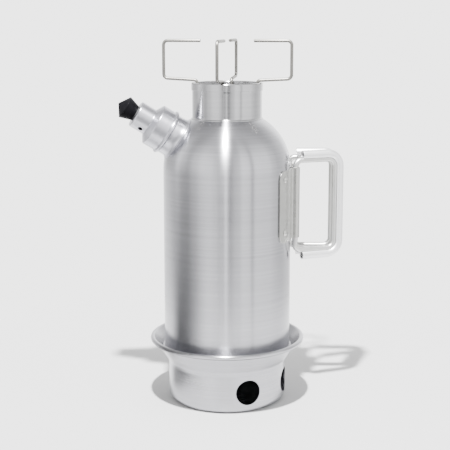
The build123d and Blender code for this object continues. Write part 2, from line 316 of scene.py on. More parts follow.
def sweep(name, path, section, first_side, tip_round=0.0):
    """A closed section of (across, up) carried along a path of points, with flat or rounded ends."""
    bm = bmesh.new()
    points = [Vector(p) for p in path]
    tangents = []
    for k in range(len(points)):
        before = points[max(k - 1, 0)]
        after = points[min(k + 1, len(points) - 1)]
        tangents.append((after - before).normalized())
    # Each station is a point, a direction, and how much smaller the section is there
    stations = [(point, tangent, 0.0) for point, tangent in zip(points, tangents)]
    if tip_round:
        turns = [radians(90 * s / TIP_STEPS) for s in range(TIP_STEPS + 1)]
        tips = []
        for end, inward in ((0, tip_round), (-1, -tip_round)):
            tip, way = points[end], tangents[end]
            tips.append([
                (tip + way * inward * (1 - sin(t)), way, tip_round * (1 - cos(t))) for t in turns
            ])
        stations = tips[0][::-1] + stations[1:-1] + tips[1]
    side = Vector(first_side)
    rings = []
    lengths = [0.0]
    last_point, last_tangent, _ = stations[0]
    for point, tangent, inset in stations:
        side = last_tangent.rotation_difference(tangent) @ side
        side = (side - tangent * side.dot(tangent)).normalized()
        up = tangent.cross(side)
        lengths.append(lengths[-1] + (point - last_point).length * MM)
        ring = []
        for across, rise in section:
            reach = sqrt(across * across + rise * rise)
            scale = (reach - inset) / reach if inset else 1.0
            ring.append(bm.verts.new((point + side * across * scale + up * rise * scale) * MM))
        rings.append(ring)
        last_point, last_tangent = point, tangent
    join_rings(bm, rings, lengths[1:], lengths_round(section))
    bm.faces.new(rings[0])
    bm.faces.new(rings[-1])
    return finish_mesh(name, bm, BENT_SHARP_ANGLE)


def circle(radius, steps=28):
    """A round section."""
    return arc((0, 0), radius, 0, 360, steps)[:-1]


def bent_path(corners, plane, arc_steps=10):
    """Points in space of a bent wire whose corners (out, up, radius) lie in an upright plane."""
    origin, outward = plane
    flat = rounded(corners, steps=arc_steps)
    return [origin + outward * x + Vector((0, 0, y)) for x, y in flat]


def cut(obj, cutters):
    """Takes the cutters away from an object, for good."""
    others = list(obj.modifiers)
    for other in others:
        other.show_viewport = False
    for cutter in cutters:
        modifier = obj.modifiers.new("hole", "BOOLEAN")
        modifier.operation = "DIFFERENCE"
        modifier.solver = "EXACT"
        modifier.object = cutter
        graph = bpy.context.evaluated_depsgraph_get()
        mesh = bpy.data.meshes.new_from_object(obj.evaluated_get(graph))
        obj.modifiers.remove(modifier)
        old = obj.data
        obj.data = mesh
        bpy.data.meshes.remove(old)
        bpy.data.objects.remove(cutter)
    for other in others:
        other.show_viewport = True
    bm = bmesh.new()
    bm.from_mesh(obj.data)
    for edge in bm.edges:
        if len(edge.link_faces) == 2:
            edge.smooth = edge.calc_face_angle(0) < radians(SHARP_ANGLE)
    bm.to_mesh(obj.data)
    bm.free()


def axis_place(origin, direction):
    """A place at a point, with its Z axis along a direction, in millimetres."""
    turn = Vector(direction).to_track_quat("Z", "Y").to_matrix().to_4x4()
    return Matrix.Translation(origin) @ turn


def drill(radius, origin, direction, length):
    """A cylinder to cut with, from a point along a direction, in millimetres."""
    outline = [(0, 0), (radius, 0), (radius, length), (0, length)]
    tool = lathe("drill", outline, DRILL_STEPS, axis_place(origin, direction))
    tool.modifiers.clear()
    return tool


def direction_at(angle):
    """Level direction at an angle from +X, in degrees."""
    return Vector((cos(radians(angle)), sin(radians(angle)), 0))


def spout_axis():
    """Direction of the spout: towards -X, tilted upwards."""
    return Vector((-cos(radians(SPOUT_TILT)), 0, sin(radians(SPOUT_TILT))))


def spout_place():
    """Local Z along the spout, local X towards -Y, in millimetres."""
    z = spout_axis()
    x = Vector((0, -1, 0))
    return Matrix.Translation(SPOUT_ROOT) @ Matrix((x, z.cross(x), z)).transposed().to_4x4()


# Materials

# Waves per metre round the axis and along the outline, or along a wire and round it
RINGS = (9, 2600)
WIDE_RINGS = (3.6, 325)
DRAWN_LINES = (30, 2400)
SMUDGES = 26
PATCHES = 60
# Depth of the grain, in metres
RING_DEPTH = 0.00006
LINE_DEPTH = 0.00005
SKIN_DEPTH = 0.00008
# Where a noise's values lie, for roughness and for colour
NOISE_SPAN = (0.25, 0.75)
TINT_SPAN = (0.3, 0.7)
# A surface looks away from the axis, or towards it, where its normal times its distance passes this
FACING_LIMIT = 0.005
LEVEL_LIMIT = 0.7
# Colour of the painted shade inside the pan
INSIDE_SHADE_COLOUR = (0.22, 0.22, 0.24, 1)
# Colour of the painted shadow under the rim
RIM_SHADOW_COLOUR = (0.10, 0.10, 0.105, 1)


class Nodes:
    """Short calls for the nodes that a material or the world needs."""

    def __init__(self, owner, shader):
        owner.use_nodes = True
        self.data = owner
        self.nodes = owner.node_tree.nodes
        self.links = owner.node_tree.links
        self.shader = self.nodes[shader]

    def node(self, kind, **values):
        made = self.nodes.new(kind)
        for key, value in values.items():
            setattr(made, key, value)
        return made

    def join(self, source, target):
        self.links.new(source, target)

    def put(self, values, sockets):
        """Joins each output to its socket, or sets the socket where the value is a plain one."""
        for value, socket in zip(values, sockets):
            if isinstance(value, bpy.types.NodeSocket):
                self.join(value, socket)
            else:
                socket.default_value = value

    def math(self, operation, *values):
        made = self.node("ShaderNodeMath", operation=operation)
        self.put(values, made.inputs)
        return made.outputs[0]

    def plus(self, first, second):
        return self.math("ADD", first, second)

    def times(self, first, second):
        return self.math("MULTIPLY", first, second)

    def vector_math(self, operation, *values):
        """A sum with vectors whose outcome is a number."""
        made = self.node("ShaderNodeVectorMath", operation=operation)
        self.put(values, made.inputs)
        return made.outputs["Value"]

    def blend(self, first, second, share):
        """Two numbers mixed, with this share of the first."""
        return self.plus(self.times(first, share), self.times(second, 1 - share))

    def mix(self, amount, first, second):
        """Two colours mixed, with this amount of the second."""
        made = self.node("ShaderNodeMix", data_type="RGBA")
        # The node's factor and two colours, among sockets for other kinds of data
        self.put((amount, first, second), (made.inputs[0], made.inputs[6], made.inputs[7]))
        return made.outputs[2]

    def place(self):
        """Where a point lies on the object, in metres."""
        return self.node("ShaderNodeTexCoord").outputs["Object"]

    def split(self, vector):
        made = self.node("ShaderNodeSeparateXYZ")
        self.join(vector, made.inputs[0])
        return made.outputs

    def noise(self, vector, scale, detail=3.0, roughness=0.5):
        made = self.node("ShaderNodeTexNoise")
        made.inputs["Scale"].default_value = scale
        made.inputs["Detail"].default_value = detail
        made.inputs["Roughness"].default_value = roughness
        self.join(vector, made.inputs["Vector"])
        return made.outputs[0]

    def remap(self, value, start, end, low=0.0, high=1.0, kind="SMOOTHSTEP"):
        """The stretch from start to end of a value, moved to low to high."""
        made = self.node("ShaderNodeMapRange", interpolation_type=kind)
        self.put((value, start, end, low, high), made.inputs)
        return made.outputs[0]

    def roughen(self, noise, rough, rough_spread):
        """Roughness that a noise moves up and down."""
        spread = self.remap(noise, *NOISE_SPAN, rough - rough_spread, rough + rough_spread, "LINEAR")
        self.join(spread, self.shader.inputs["Roughness"])

    def tint(self, noise, dark, light):
        """Base colour between two, by a noise."""
        made = self.node("ShaderNodeValToRGB")
        for element, position, colour in zip(made.color_ramp.elements, TINT_SPAN, (dark, light)):
            element.position = position
            element.color = (*colour, 1)
        self.join(noise, made.inputs["Fac"])
        self.join(made.outputs["Color"], self.shader.inputs["Base Color"])

    def along_axes(self, axes):
        """The object coordinates measured along some directions."""
        place = self.place()
        return [self.vector_math("DOT_PRODUCT", place, axis) for axis in axes]

    def turned_vector(self, waves, place):
        """Surface coordinates that change slowly round a place's axis and fast along the outline."""
        around, along = waves
        axes = place.to_3x3().transposed()
        x, y, z = [
            self.math("SUBTRACT", measure, place.translation.dot(axis) * MM)
            for measure, axis in zip(self.along_axes(axes), axes)
        ]
        radius = self.math("SQRT", self.plus(self.times(x, x), self.times(y, y)))
        shifted = self.plus(self.times(x, around), self.times(radius, along))
        merged = self.node("ShaderNodeCombineXYZ")
        self.put((shifted, self.times(y, around), self.times(z, along)), merged.inputs)
        return merged.outputs[0]

    def drawn_vector(self, waves):
        """Surface coordinates that change slowly along a wire and fast round it."""
        place = self.node("ShaderNodeUVMap", uv_map="surface")
        scale = self.node("ShaderNodeVectorMath", operation="MULTIPLY")
        self.put((place.outputs[0], (*waves, 1)), scale.inputs)
        return scale.outputs[0]

    def bump(self, height, strength, depth):
        made = self.node("ShaderNodeBump")
        made.inputs["Strength"].default_value = strength
        made.inputs["Distance"].default_value = depth
        self.join(height, made.inputs["Height"])
        self.join(made.outputs[0], self.shader.inputs["Normal"])


def new_material(name, sockets):
    """A material's nodes, with some of its shader's own sockets set."""
    made = Nodes(bpy.data.materials.new(name), "Principled BSDF")
    for socket, value in sockets.items():
        made.shader.inputs[socket].default_value = value
    return made


def turned_metal(name, dark, light, rough, rough_spread, aniso, strength, place=Matrix.Identity(4)):
    """Spun and brushed sheet: fine rings round the axis, a stretched highlight, faint smudges."""
    made = new_material(name, {"Metallic": 1.0, "Anisotropic": aniso, "Anisotropic Rotation": 0.25})
    rings = made.noise(made.turned_vector(RINGS, place), 1.0, detail=4, roughness=0.65)
    wide_rings = made.noise(made.turned_vector(WIDE_RINGS, place), 1.0, detail=2)
    smudges = made.noise(made.place(), SMUDGES, detail=5, roughness=0.6)
    both = made.blend(rings, wide_rings, share=0.6)
    made.tint(both, dark, light)
    mixed = made.blend(rings, smudges, share=0.55)
    made.roughen(mixed, rough, rough_spread)
    tangent = made.node("ShaderNodeTangent", direction_type="UV_MAP", uv_map="surface")
    made.join(tangent.outputs[0], made.shader.inputs["Tangent"])
    made.bump(both, strength, RING_DEPTH)
    return made


def drawn_metal(name, dark, light, rough, rough_spread=0.05, strength=0.2):
    """Drawn or rolled stock: faint lines along its length and slow changes of tone."""
    made = new_material(name, {"Metallic": 1.0})
    lines = made.noise(made.drawn_vector(DRAWN_LINES), 1.0, detail=3, roughness=0.6)
    patches = made.noise(made.place(), PATCHES, detail=4, roughness=0.6)
    mixed = made.blend(lines, patches, share=0.5)
    made.tint(mixed, dark, light)
    made.roughen(mixed, rough, rough_spread)
    made.bump(mixed, strength, LINE_DEPTH)
    return made


def moulded(name, dark, light, rough, grain, strength, gloss=0.3):
    """Moulded plastic or rubber with a fine grain."""
    made = new_material(name, {"Specular IOR Level": gloss})
    fine = made.noise(made.place(), grain, detail=3)
    slow = made.noise(made.place(), grain / 20, detail=2)
    made.tint(slow, dark, light)
    made.roughen(fine, rough, rough_spread=0.06)
    made.bump(fine, strength, SKIN_DEPTH)
    return made


def facing_out(made, normal, place):
    """How far a surface looks away from the kettle's axis: below 0 it looks inwards."""
    x, y, _ = made.split(place)
    level = made.node("ShaderNodeCombineXYZ")
    made.put((x, y), level.inputs)
    return made.vector_math("DOT_PRODUCT", normal, level.outputs[0])


def darken(made, amount, colour):
    """Lays a darker colour over a material by an amount from 0 to 1."""
    socket = made.shader.inputs["Base Color"]
    made.join(made.mix(amount, socket.links[0].from_socket, colour), socket)


def paint_inside_shade(made):
    """Painted shade low down inside the pan: the colour fades to dark where the surface looks inwards
    or up.
    """
    normal = made.node("ShaderNodeNewGeometry").outputs["True Normal"]
    place = made.place()
    inward = made.math("LESS_THAN", facing_out(made, normal, place), -FACING_LIMIT)
    level = made.math("GREATER_THAN", made.split(normal)[2], LEVEL_LIMIT)
    top = (INSIDE_SHADE_HEIGHT + INSIDE_SHADE_FADE) * MM
    low = made.remap(made.split(place)[2], top, INSIDE_SHADE_HEIGHT * MM, kind="LINEAR")
    darken(made, made.times(made.math("MAXIMUM", inward, level), low), INSIDE_SHADE_COLOUR)


def paint_rim_shadow(made):
    """Painted shadow: a dark line under the rolled rim, where the bead shades the gap, on the side
    that faces outwards.
    """
    normal = made.node("ShaderNodeNewGeometry").outputs["True Normal"]
    place = made.place()
    outward = made.math("GREATER_THAN", facing_out(made, normal, place), FACING_LIMIT)
    above = made.math("SUBTRACT", made.split(place)[2], RIM_SHADOW_HEIGHT * MM)
    off_shadow_line = made.math("ABSOLUTE", above)
    half_width = RIM_SHADOW_HALF_WIDTH * MM
    near = made.remap(off_shadow_line, half_width, half_width * 0.3)
    darken(made, made.times(outward, near), RIM_SHADOW_COLOUR)


BASE_METAL = turned_metal(
    "base_aluminium", dark=(0.35, 0.35, 0.37), light=(0.45, 0.45, 0.47),
    rough=0.26, rough_spread=0.04, aniso=0.85, strength=0.2,
)
# Painted shade low down inside the pan
paint_inside_shade(BASE_METAL)
# Painted shadow under the rolled rim
paint_rim_shadow(BASE_METAL)
BODY_METAL = turned_metal(
    "body_aluminium", dark=(0.375, 0.375, 0.395), light=(0.47, 0.47, 0.495),
    rough=0.225, rough_spread=0.03, aniso=0.95, strength=0.17,
)
POLISHED = turned_metal(
    "polished_aluminium", dark=(0.38, 0.38, 0.39), light=(0.45, 0.45, 0.46),
    rough=0.21, rough_spread=0.03, aniso=0.85, strength=0.10,
)
SPOUT_METAL = turned_metal(
    "spout_aluminium", dark=(0.42, 0.42, 0.43), light=(0.50, 0.50, 0.51),
    rough=0.25, rough_spread=0.03, aniso=0.6, strength=0.10, place=spout_place(),
)
CAP_METAL = turned_metal(
    "cap_aluminium", dark=(0.46, 0.46, 0.50), light=(0.56, 0.56, 0.60),
    rough=0.31, rough_spread=0.04, aniso=0.6, strength=0.16, place=spout_place(),
)
PLATE_METAL = drawn_metal(
    "bracket_aluminium", dark=(0.44, 0.44, 0.42), light=(0.56, 0.56, 0.54), rough=0.27,
)
# Bracket end faces: near-black paint that stands for the dark reflection along the plate's edge
EDGE_DARK_REFLECTION = drawn_metal(
    "painted_edge_reflection", dark=(0.06, 0.06, 0.06), light=(0.12, 0.12, 0.12), rough=0.45,
)
HANDLE_METAL = drawn_metal(
    "handle_wire", dark=(0.56, 0.56, 0.55), light=(0.66, 0.66, 0.65), rough=0.36, strength=0.1,
)
SLEEVE_METAL = drawn_metal(
    "sleeve_aluminium", dark=(0.86, 0.86, 0.87), light=(0.92, 0.92, 0.93),
    rough=0.47, rough_spread=0.04, strength=0.1,
)
SUPPORT_METAL = drawn_metal(
    "support_steel", dark=(0.17, 0.166, 0.153), light=(0.25, 0.243, 0.225), rough=0.40, strength=0.08,
)
BLACK_PLASTIC = moulded(
    "stopper_plastic", dark=(0.0025, 0.0025, 0.003), light=(0.005, 0.005, 0.006),
    rough=0.40, grain=2600, strength=0.05, gloss=0.03,
)
RUBBER = moulded(
    "seal_rubber", dark=(0.02, 0.02, 0.02), light=(0.04, 0.04, 0.04),
    rough=0.65, grain=3000, strength=0.15,
)


def dress(obj, material, body, slot, *nodes):
    """Gives a piece its material, the body it moves with and the CAD nodes that it stands for."""
    obj.data.materials.clear()
    obj.data.materials.append(material.data)
    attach(obj, body)
    if nodes:
        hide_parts(*nodes)


# Fire base: spun pan with a flared wall, rolled rim and four punched air holes

def make_base():
    outside = rounded([
        (0, 0, 0),
        (BASE_RADIUS, 0, BASE_CORNER),
        (BASE_RADIUS, FLARE_START, 2 * BASE_CORNER),
        (FLARE_RADIUS, FLARE_TOP, 0),
    ], steps=BASE_CORNER_STEPS)
    slope = atan2(FLARE_TOP - FLARE_START, FLARE_RADIUS - BASE_RADIUS)
    rim_start = degrees(slope) + RIM_START_ANGLE
    rim = arc((RIM_RADIUS, RIM_HEIGHT), RIM_BEAD, rim_start, RIM_END_ANGLE, steps=36)
    lining = BASE_RADIUS - BASE_WALL
    lining_bend = FLARE_START + BASE_WALL * (1 - cos(slope)) / sin(slope)
    inside = rounded([
        (FLARE_RADIUS - BASE_WALL * sin(slope), FLARE_TOP + BASE_WALL * cos(slope), 0),
        (lining, lining_bend, 2 * BASE_CORNER + BASE_WALL),
        (lining, BASE_WALL, BASE_CORNER - BASE_WALL),
        (0, BASE_WALL, 0),
    ], steps=BASE_CORNER_STEPS)
    pan = lathe("base_pan", outside + rim + inside)
    half_drill = 9
    drills = []
    for angle in AIR_HOLE_ANGLES:
        outward = direction_at(angle)
        start = outward * (BASE_RADIUS - half_drill) + Vector((0, 0, AIR_HOLE_HEIGHT))
        drills.append(drill(AIR_HOLE_DIAMETER / 2, start, outward, 2 * half_drill))
    cut(pan, drills)
    dress(pan, BASE_METAL, "base", "base_aluminium", "fire_base")


# Kettle: jacket with its dome, the ring at its foot, and the flue inside

def dome_point(angle, inset=0.0):
    """A point of the dome's outline at an angle above the level."""
    reach = DOME_RADIUS - inset
    return (DOME_CENTRE + reach * cos(radians(angle)), DOME_START + reach * sin(radians(angle)))


def make_jacket():
    angles = [DOME_END_ANGLE * k / DOME_STEPS for k in range(DOME_STEPS + 1)]
    outer = [dome_point(angle) for angle in angles]
    inner = [dome_point(angle, BODY_WALL) for angle in reversed(angles)]
    edge = BODY_BOTTOM + 0.3
    wall = [(BODY_RADIUS, height) for height in (edge, WALL_LOW_RING, WALL_HIGH_RING)]
    lining = [(BODY_RADIUS - BODY_WALL, height) for height in (WALL_HIGH_RING, edge)]
    jacket = lathe("jacket", wall + outer + inner + lining)
    out = spout_axis()
    half_drill = 16
    cut(jacket, [drill(TUBE_RADIUS + SEAM_GAP, SPOUT_ROOT - out * half_drill, out, 2 * half_drill)])
    dress(jacket, BODY_METAL, "kettle", "body_aluminium", "outer_shell")


def make_foot_ring():
    """Rolled ring that clinches the jacket's lower edge to the flue's flange."""
    bead = arc((SEAM_RADIUS, SEAM_HEIGHT), SEAM_BEAD, *SEAM_BEAD_ANGLES, steps=26)
    jacket = BODY_RADIUS + SEAM_GAP
    ceiling = FLUE_FLOOR - 0.1
    underside = FLUE_FLOOR - SEAM_UNDERSIDE
    lip_outer = FLUE_FLANGE - FLUE_WALL - SEAM_GAP
    lip_inner = lip_outer - SEAM_LIP
    lip_top = FLUE_FLOOR + SEAM_LIP_RISE
    inner = [
        (jacket, SEAM_HEIGHT + 1.2),
        (jacket, ceiling),
        (lip_outer, ceiling),
        (lip_outer, lip_top),
        (lip_outer - 0.5, lip_top + 0.3),
        (lip_inner, lip_top),
        (lip_inner, underside + 0.5),
        (lip_inner + 0.25, underside + 0.15),
        (lip_inner + 0.75, underside),
        (SEAM_RADIUS - 1.2, underside),
    ]
    ring = lathe("foot_ring", bead + inner)
    dress(ring, BODY_METAL, "kettle", "body_aluminium", "seam_ring")


def make_flue():
    """Flange, cone and neck lining in one skin, with its top edge hemmed over the neck."""
    lining = FLUE_RADIUS - FLUE_WALL
    flange_lining = FLUE_FLANGE - FLUE_WALL
    fold = NECK_TOP - HEM_SHEET - 0.5
    hem_lining = HEM_RADIUS - HEM_SHEET
    outline = rounded([
        (FLUE_FLANGE, FLUE_FLOOR, 0),
        (FLUE_FLANGE, FLANGE_TOP, FLANGE_BEND),
        (CONE_RADIUS, CONE_HEIGHT, CONE_BEND),
        (FLUE_RADIUS, NECK_BOTTOM, NECK_BEND),
        (FLUE_RADIUS, fold, 0.3),
        (hem_lining, fold, 0.3),
        (hem_lining, HEM_BOTTOM, 0.2),
        (HEM_RADIUS, HEM_BOTTOM, 0.25),
        (HEM_RADIUS, NECK_TOP, HEM_BEND),
        (lining, NECK_TOP, HEM_BEND),
        (lining, NECK_BOTTOM, NECK_BEND),
        (CONE_RADIUS - FLUE_WALL, CONE_HEIGHT, CONE_BEND),
        (flange_lining, FLANGE_TOP - 0.2, FLANGE_BEND),
        (flange_lining, FLUE_FLOOR, 0),
    ])
    flue = lathe("flue_liner", outline)
    dress(flue, POLISHED, "kettle", "flue_aluminium", "flue")


# Neck: polished tube with a small fillet where it is brazed to the dome

def make_neck():
    seat = sqrt(DOME_RADIUS**2 - (NECK_RADIUS - DOME_CENTRE) ** 2) + DOME_START
    outline = rounded([
        (NECK_INNER, NECK_BOTTOM, 0),
        (NECK_RADIUS - SEAM_GAP, NECK_BOTTOM, 0),
        (NECK_RADIUS, seat - 1, 0),
        (NECK_RADIUS, NECK_FOLD, 0.3),
        (NECK_INNER, NECK_FOLD, 0.3),
    ], closed=True, steps=4)
    neck = lathe("neck", outline)
    dress(neck, POLISHED, "kettle", "polished_aluminium", "neck_collar")
    foot_angle = atan2(seat - 0.9 - DOME_START, NECK_RADIUS + 1.25 - DOME_CENTRE)
    foot_x, foot_y = dome_point(degrees(foot_angle))
    buried = NECK_RADIUS - 0.1
    bead = arc((NECK_RADIUS + 1.5, seat + 1.3), BRAZE_RADIUS, *BRAZE_ANGLES, steps=7)
    fillet = [(buried, seat - 1.2), (foot_x + 0.1, foot_y - 0.25), *bead, (buried, seat + 1.6)]
    braze = lathe("neck_braze", fillet)
    dress(braze, POLISHED, "kettle", "polished_aluminium")


# Spout

def height_on_dome(radius, turn, lift=0.0):
    """Height along the spout at which a line beside its axis meets the dome, found by halving."""
    place = spout_place()
    low, high = SPOUT_SEARCH
    for _ in range(40):
        middle = (low + high) / 2
        p = place @ Vector((radius * cos(turn), radius * sin(turn), middle))
        across = sqrt(p.x**2 + p.y**2)
        if p.z > DOME_START:
            from_centre = sqrt(max(across - DOME_CENTRE, 0) ** 2 + (p.z - DOME_START) ** 2)
            outside = from_centre > DOME_RADIUS + lift
        else:
            outside = across > BODY_RADIUS + lift
        low, high = (low, middle) if outside else (middle, high)
    return (low + high) / 2


def make_spout_foot():
    """Collar whose flared foot is scribed to the dome."""
    inner = TUBE_RADIUS + SEAM_GAP
    flare_steps = 7
    columns = []
    for k in range(TURN_STEPS):
        t = 2 * pi * k / TURN_STEPS
        foot = height_on_dome(COLLAR_FOOT, t)
        flare_top = max(foot + COLLAR_FLARE, COLLAR_FLARE_LOWEST)
        column = [
            (inner, height_on_dome(inner, t) + SEAM_GAP),
            (inner, COLLAR_END - 0.3),
            (inner + 0.3, COLLAR_END),
            (COLLAR_RADIUS - 0.35, COLLAR_END),
            (COLLAR_RADIUS - 0.1, COLLAR_END - 0.1),
            (COLLAR_RADIUS, COLLAR_END - 0.35),
            (COLLAR_RADIUS, flare_top + 0.6),
        ]
        for b in range(flare_steps + 1):
            a = radians(90 * b / flare_steps)
            out = COLLAR_RADIUS + (COLLAR_FOOT - COLLAR_RADIUS) * (1 - cos(a))
            column.append((out, flare_top - (flare_top - foot - 0.55) * sin(a)))
        column += [(COLLAR_FOOT + 0.12, foot + 0.25), (COLLAR_FOOT, foot + SEAM_GAP)]
        columns.append(column)
    collar = turned("spout_foot", columns, spout_place())
    dress(collar, CAP_METAL, "kettle", "polished_aluminium", "spout_collar")


def make_spout_pipe():
    """Tube whose lower end is scribed to just inside the dome."""
    inner = TUBE_RADIUS - TUBE_WALL
    lift = -BODY_WALL - 2
    inner_lip = [(inner, TUBE_END - 0.35), (inner + 0.12, TUBE_END - 0.1), (inner + 0.4, TUBE_END)]
    outer_lip = [(inner + TUBE_RADIUS - x, y) for x, y in reversed(inner_lip)]
    columns = []
    for k in range(TURN_STEPS):
        t = 2 * pi * k / TURN_STEPS
        inner_end, outer_end = [(r, height_on_dome(r, t, lift)) for r in (inner, TUBE_RADIUS)]
        columns.append([inner_end, *inner_lip, *outer_lip, outer_end])
    pipe = turned("spout_pipe", columns, spout_place())
    dress(pipe, SPOUT_METAL, "kettle", "polished_aluminium", "spout_tube")


def make_cap():
    """Push-on cap: skirt with a rolled edge, sloped shoulder, nozzle with a steam vent."""
    bead_height = CAP_BOTTOM + CAP_BEAD
    inner = CAP_RADIUS - CAP_WALL
    throat = NOZZLE_RADIUS - CAP_WALL
    bead = arc((CAP_RADIUS, bead_height), CAP_BEAD, *CAP_BEAD_ANGLES, steps=20)
    outline = bead + rounded([
        (CAP_RADIUS + 0.02, bead_height + CAP_BEAD + 0.1, 0),
        (CAP_RADIUS, CAP_SHOULDER, 1.1),
        (NOZZLE_RADIUS, NOZZLE_START, 1.0),
        (NOZZLE_RADIUS, NOZZLE_END, 1.2),
        (NOZZLE_BORE, NOZZLE_END, 0.4),
        (NOZZLE_BORE, NOZZLE_END - CAP_WALL, 0.3),
        (throat, NOZZLE_END - CAP_WALL, 0.5),
        (throat, NOZZLE_START - 0.6, 1.0),
        (inner, CAP_SHOULDER - 0.9, 1.0),
        (inner, CAP_BOTTOM + 0.4, 0),
        (inner + 0.4, CAP_BOTTOM, 0),
    ], steps=6)
    place = spout_place()
    cap = lathe("cap_shell", outline, place=place)
    bearing = radians(VENT_BEARING)
    aim = (place.to_3x3() @ Vector((sin(bearing), -cos(bearing), 0))).normalized()
    vent_start = place @ Vector((0, 0, VENT_HEIGHT))
    cut(cap, [drill(VENT_DIAMETER / 2, vent_start, aim, NOZZLE_RADIUS + 4)])
    dress(cap, CAP_METAL, "cap", "cap_aluminium", "spout_cap")


def make_stopper():
    outline = rounded([
        (0, STOPPER_TIP - 0.25, 0),
        (STOPPER_TIP_RADIUS, STOPPER_TIP - 0.65, 0.8),
        (STOPPER_WAIST, STOPPER_WAIST_HEIGHT, 0.55),
        (STOPPER_BASE, STOPPER_SEAT, 0.35),
        (STOPPER_STEM, STOPPER_SEAT, 0),
        (STOPPER_STEM, NOZZLE_END - STEM_LENGTH / 2, 0.6),
        (STOPPER_STEM - 1, NOZZLE_END - STEM_LENGTH, 0.7),
        (0, NOZZLE_END - STEM_LENGTH, 0),
    ], steps=6)
    knob = lathe("stopper_knob", outline, place=spout_place())
    dress(knob, BLACK_PLASTIC, "plug", "stopper_plastic", "stopper")


# Handle bracket: one rolled sheet with two pressed channels

def bracket_outline():
    """Outer and inner plan outlines of the bracket, as (x, y) pairs at matching places."""
    hinge = radians(HINGE_BEARING)
    limit = radians(BRACKET_BEARING)
    channel = LEG_BORE + BRACKET_SHEET
    band = BRACKET_RADIUS + BRACKET_SHEET

    def channel_points(side, radius, root, base):
        """Along one channel: root fillet, straight wall, half round, and back."""
        local = rounded([
            (base - HINGE_RADIUS - 0.2, -radius - 3 * root, 0),
            (base - HINGE_RADIUS, -radius, root),
            (0, -radius, 0),
        ], steps=5)
        crest = arc((0, 0), radius, -90, 90, steps=20)[1:-1]
        turn = Matrix.Rotation(side * hinge, 2)
        back = [(x, -y) for x, y in reversed(local)]
        return [tuple(turn @ Vector((HINGE_RADIUS + x, y))) for x, y in local + crest + back]

    half_span = (channel + CHANNEL_ROOT) / band
    stretches = (
        (-limit, -hinge - half_span, BRACKET_SIDE_STEPS, -1),
        (-hinge + half_span, hinge - half_span, BRACKET_MIDDLE_STEPS, 1),
        (hinge + half_span, limit, BRACKET_SIDE_STEPS, None),
    )
    faces = ((band, channel, BRACKET_SHEET), (BRACKET_RADIUS, LEG_BORE, 2 * BRACKET_SHEET))
    outlines = []
    for radius, width, root in faces:
        outline = []
        for start, end, steps, side in stretches:
            outline += arc((0, 0), radius, degrees(start), degrees(end), steps)
            if side:
                outline += channel_points(side, width, root, radius)
        outlines.append(outline)
    return outlines


def make_bracket():
    outer, inner = bracket_outline()
    bm = bmesh.new()
    uv = bm.loops.layers.uv.new("surface")
    limit = radians(BRACKET_BEARING)
    band = BRACKET_RADIUS + BRACKET_SHEET

    def trim(x, y):
        """How far the rounded corner pulls the top and bottom edges in at this place."""
        edge = (limit - abs(atan2(y, x))) * band
        if edge >= BRACKET_CORNER:
            return 0.0
        return BRACKET_CORNER - sqrt(max(BRACKET_CORNER**2 - (BRACKET_CORNER - edge) ** 2, 0))

    rows = BRACKET_ROWS
    columns = []
    for points in (outer, inner):
        column = []
        for x, y in points:
            pull = trim(x, y)
            low, high = BRACKET_BOTTOM + pull, BRACKET_TOP - pull
            heights = [low + (high - low) * j / rows for j in range(rows + 1)]
            column.append([bm.verts.new((x * MM, y * MM, z * MM)) for z in heights])
        columns.append(column)
    skin, lining = columns
    count = len(skin)
    for k in range(count - 1):
        for j in range(rows):
            for column, flip in ((skin, False), (lining, True)):
                corners = [column[k][j], column[k + 1][j], column[k + 1][j + 1], column[k][j + 1]]
                face = bm.faces.new(corners[::-1] if flip else corners)
                for loop in face.loops:
                    x, y, z = loop.vert.co
                    loop[uv].uv = (z, atan2(y, x) * band * MM)
        for j in (0, rows):
            bm.faces.new([skin[k][j], skin[k + 1][j], lining[k + 1][j], lining[k][j]])
    # The plate's two end faces take the second material, a painted dark reflection
    for k in (0, count - 1):
        for j in range(rows):
            end = bm.faces.new([skin[k][j], skin[k][j + 1], lining[k][j + 1], lining[k][j]])
            end.material_index = 1
    bmesh.ops.remove_doubles(bm, verts=bm.verts, dist=WELD_DISTANCE)
    plate = finish_mesh("bracket_plate", bm, BRACKET_SHARP_ANGLE)
    wear_edges(plate, 0.22, BRACKET_SHARP_ANGLE)
    dress(plate, PLATE_METAL, "kettle", "bracket_aluminium", "handle_bracket")
    plate.data.materials.append(EDGE_DARK_REFLECTION.data)


def make_rivets():
    """Four rivets in one piece: domed heads outside, flat tails inside."""
    base = BRACKET_RADIUS + BRACKET_SHEET + SEAM_GAP
    curve = (RIVET_HEAD**2 + RIVET_DOME**2) / (2 * RIVET_DOME)
    reach = degrees(atan2(RIVET_HEAD, curve - RIVET_DOME))
    dome = arc((0, base + RIVET_DOME - curve), curve, 90, 90 - reach + 4, steps=12)
    tail = BODY_RADIUS - BODY_WALL - RIVET_SEAL - 0.2
    end = tail - RIVET_TAIL_SHEET
    outline = [
        (0, base + RIVET_DOME), *dome[1:],
        (RIVET_HEAD - 0.02, base + 0.12), (RIVET_HEAD - 0.15, base), (RIVET_SHANK, base),
        (RIVET_SHANK, tail), (RIVET_TAIL - 0.1, tail), (RIVET_TAIL, tail - 0.1),
        (RIVET_TAIL, end + 0.2), (RIVET_TAIL - 0.2, end), (0, end),
    ]
    bm = bmesh.new()
    for side in (-1, 1):
        for height in RIVET_HEIGHTS:
            place = axis_place((0, 0, height), direction_at(side * RIVET_BEARING))
            rivet = lathe("rivet", outline, 48, place)
            bm.from_mesh(rivet.data)
            bpy.data.objects.remove(rivet)
    group = finish_mesh("rivet_heads", bm)
    weigh_normals(group)
    dress(group, PLATE_METAL, "kettle", "polished_aluminium", "bracket_rivets")


# Handle wings

